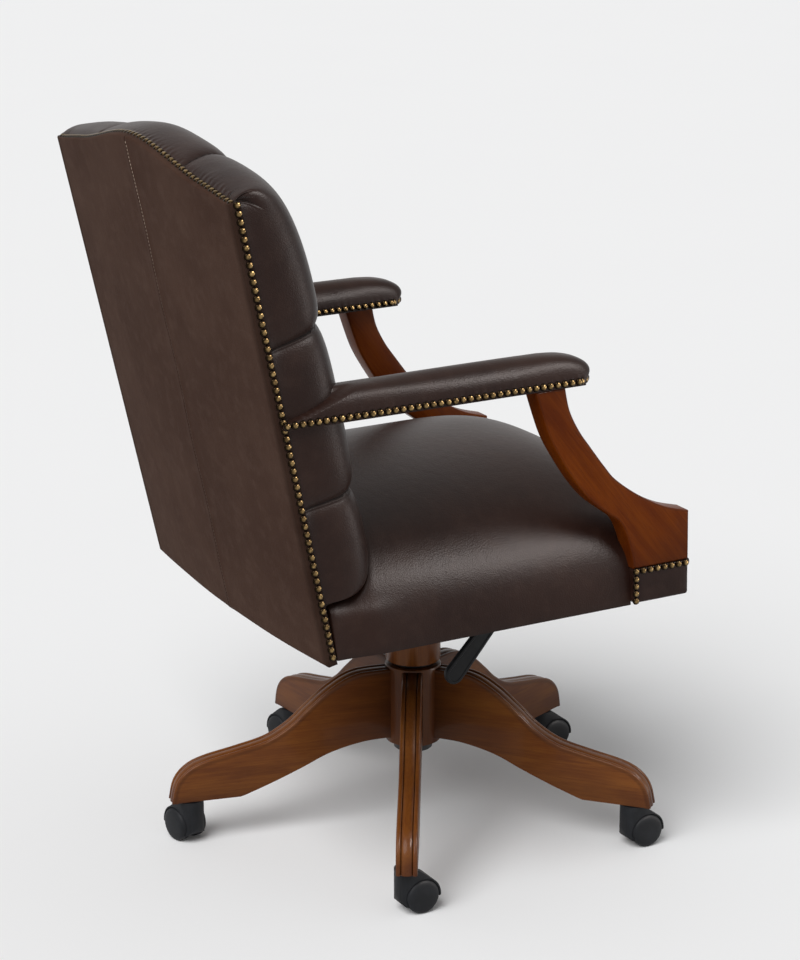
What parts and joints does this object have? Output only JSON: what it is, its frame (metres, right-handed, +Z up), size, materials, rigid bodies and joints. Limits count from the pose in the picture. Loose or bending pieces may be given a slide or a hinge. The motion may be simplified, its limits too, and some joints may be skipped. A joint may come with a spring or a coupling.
{
  "type": "swivel desk chair",
  "caption": "Gainsborough swivel desk chair: deep-buttoned leather back, padded arms on swept wooden supports, sprung seat, gas lift and a reeded wooden star base on twin-wheel casters.",
  "frame": {"origin": "on the floor, under the column's axis", "axes": "+Z up; the chair faces -Y, so the sitter's left is +X"},
  "size_m": [0.6912, 0.7581, 1.0417],
  "materials": {
    "wood": "polished mahogany stain",
    "frame_wood": "sawn",
    "leather": "semi-gloss grain",
    "black_metal": "satin black",
    "bright_metal": "bright",
    "black_plastic": "satin black",
    "lining": "woven",
    "webbing": "woven elastic"
  },
  "bodies": {
    "base": {"base_hub": "wood", "tube_socket": "black_metal", "gas_tube": "black_metal", "column_collar": "black_metal", "base_leg_1": "wood", "base_leg_2": "wood", "base_leg_3": "wood", "base_leg_4": "wood", "base_leg_5": "wood"},
    "lift": {"gas_piston": "bright_metal"},
    "swivel": {"mechanism_housing": "black_metal", "column_sleeve": "wood", "tilt_pin": "bright_metal", "tension_bolt": "bright_metal", "tension_spring": "bright_metal"},
    "seat": {"seat_rail_front": "frame_wood", "seat_rail_back": "frame_wood", "seat_rail_left": "frame_wood", "seat_rail_right": "frame_wood", "seat_board": "frame_wood", "back_stile_left": "frame_wood", "back_stile_right": "frame_wood", "back_top_rail": "frame_wood", "back_bottom_rail": "frame_wood", "arm_rail_left": "frame_wood", "arm_rail_right": "frame_wood", "seat_cushion": "leather", "back_pad": "leather", "back_panel": "leather", "arm_pad_left": "leather", "arm_pad_right": "leather", "arm_block_left": "leather", "arm_block_right": "leather", "arm_support_left": "wood", "arm_support_right": "wood", "seat_plate": "black_metal", "dust_cover": "lining", "seat_webbing": "webbing"},
    "lever": {"lever_rod": "bright_metal", "lever_paddle": "black_plastic"},
    "knob": {"tension_knob": "black_plastic"},
    "caster_1": {"caster_housing_1": "black_plastic"},
    "wheel_1_left": {"caster_wheel_1_left": "black_plastic"},
    "wheel_1_right": {"caster_wheel_1_right": "black_plastic"},
    "caster_2": {"caster_housing_2": "black_plastic"},
    "wheel_2_left": {"caster_wheel_2_left": "black_plastic"},
    "wheel_2_right": {"caster_wheel_2_right": "black_plastic"},
    "caster_3": {"caster_housing_3": "black_plastic"},
    "wheel_3_left": {"caster_wheel_3_left": "black_plastic"},
    "wheel_3_right": {"caster_wheel_3_right": "black_plastic"},
    "caster_4": {"caster_housing_4": "black_plastic"},
    "wheel_4_left": {"caster_wheel_4_left": "black_plastic"},
    "wheel_4_right": {"caster_wheel_4_right": "black_plastic"},
    "caster_5": {"caster_housing_5": "black_plastic"},
    "wheel_5_left": {"caster_wheel_5_left": "black_plastic"},
    "wheel_5_right": {"caster_wheel_5_right": "black_plastic"}
  },
  "joints": [
    {"name": "gas_lift", "type": "slide", "parent": "base", "child": "lift", "axis": [0, 0, 1], "range_m": [0, 0.1]},
    {"name": "seat_swivel", "type": "hinge", "parent": "lift", "child": "swivel", "pos_m": [0, 0, 0.3], "axis": [0, 0, 1], "continuous": true},
    {"name": "seat_tilt", "type": "hinge", "parent": "swivel", "child": "seat", "pos_m": [0, -0.045, 0.352], "axis": [-1, 0, 0], "range_deg": [0, 12], "stiffness_Nm_per_rad": 120, "springref_deg": -17.19},
    {"name": "lever_lift", "type": "hinge", "parent": "swivel", "child": "lever", "pos_m": [-0.036, -0.032, 0.3365], "axis": [0, 1, 0], "range_deg": [0, 8], "stiffness_Nm_per_rad": 0.6, "springref_deg": -8.59},
    {"name": "tension_turn", "type": "hinge", "parent": "swivel", "child": "knob", "pos_m": [0, -0.075, 0.29], "axis": [0, 0, 1], "range_deg": [-360, 360]},
    {"name": "caster_1_swivel", "type": "hinge", "parent": "base", "child": "caster_1", "pos_m": [-0.2883, 0.1585, 0.06], "axis": [0, 0, 1], "continuous": true},
    {"name": "wheel_1_left_spin", "type": "hinge", "parent": "caster_1", "child": "wheel_1_left", "pos_m": [-0.28778, 0.14351, 0.024], "axis": [0.9994, 0.0349, 0], "continuous": true},
    {"name": "wheel_1_right_spin", "type": "hinge", "parent": "caster_1", "child": "wheel_1_right", "pos_m": [-0.28778, 0.14351, 0.024], "axis": [0.9994, 0.0349, 0], "continuous": true},
    {"name": "caster_2_swivel", "type": "hinge", "parent": "base", "child": "caster_2", "pos_m": [-0.23983, -0.22522, 0.06], "axis": [0, 0, 1], "continuous": true},
    {"name": "wheel_2_left_spin", "type": "hinge", "parent": "caster_2", "child": "wheel_2_left", "pos_m": [-0.23931, -0.24021, 0.024], "axis": [0.9994, 0.0349, 0], "continuous": true},
    {"name": "wheel_2_right_spin", "type": "hinge", "parent": "caster_2", "child": "wheel_2_right", "pos_m": [-0.23931, -0.24021, 0.024], "axis": [0.9994, 0.0349, 0], "continuous": true},
    {"name": "caster_3_swivel", "type": "hinge", "parent": "base", "child": "caster_3", "pos_m": [0.14008, -0.29769, 0.06], "axis": [0, 0, 1], "continuous": true},
    {"name": "wheel_3_left_spin", "type": "hinge", "parent": "caster_3", "child": "wheel_3_left", "pos_m": [0.1406, -0.31268, 0.024], "axis": [0.9994, 0.0349, 0], "continuous": true},
    {"name": "wheel_3_right_spin", "type": "hinge", "parent": "caster_3", "child": "wheel_3_right", "pos_m": [0.1406, -0.31268, 0.024], "axis": [0.9994, 0.0349, 0], "continuous": true},
    {"name": "caster_4_swivel", "type": "hinge", "parent": "base", "child": "caster_4", "pos_m": [0.32641, 0.04123, 0.06], "axis": [0, 0, 1], "continuous": true},
    {"name": "wheel_4_left_spin", "type": "hinge", "parent": "caster_4", "child": "wheel_4_left", "pos_m": [0.34102, 0.04461, 0.024], "axis": [-0.225, 0.9744, 0], "continuous": true},
    {"name": "wheel_4_right_spin", "type": "hinge", "parent": "caster_4", "child": "wheel_4_right", "pos_m": [0.34102, 0.04461, 0.024], "axis": [-0.225, 0.9744, 0], "continuous": true},
    {"name": "caster_5_swivel", "type": "hinge", "parent": "base", "child": "caster_5", "pos_m": [0.06165, 0.32317, 0.06], "axis": [0, 0, 1], "continuous": true},
    {"name": "wheel_5_left_spin", "type": "hinge", "parent": "caster_5", "child": "wheel_5_left", "pos_m": [0.07626, 0.32655, 0.024], "axis": [-0.225, 0.9744, 0], "continuous": true},
    {"name": "wheel_5_right_spin", "type": "hinge", "parent": "caster_5", "child": "wheel_5_right", "pos_m": [0.07626, 0.32655, 0.024], "axis": [-0.225, 0.9744, 0], "continuous": true}
  ]
}
